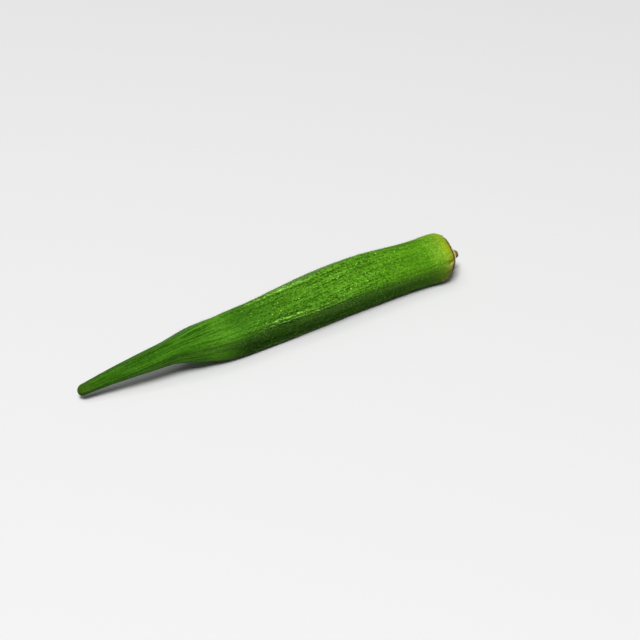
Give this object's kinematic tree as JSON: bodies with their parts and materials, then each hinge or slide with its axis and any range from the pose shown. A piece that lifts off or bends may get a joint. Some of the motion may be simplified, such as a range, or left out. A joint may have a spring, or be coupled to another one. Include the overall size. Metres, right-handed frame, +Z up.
{
  "type": "okra pod",
  "caption": "Fresh okra pod: a long ridged green seed capsule with a blunt tapering beak and a short cut stalk stub, lying on its side.",
  "frame": {"origin": "under the middle of the pod's bounding box, on the surface that the pod lies on", "axes": "+X along the pod towards the cut stalk, with the beak at -X; +Z up; +Y across the pod"},
  "size_m": [0.1282, 0.0174, 0.0161],
  "materials": {
    "pod_skin": "fresh green plant skin, satin, finely streaked and downy, yellower at the stalk end"
  },
  "bodies": {
    "root": {"okra_pod": "pod_skin"}
  },
  "joints": []
}
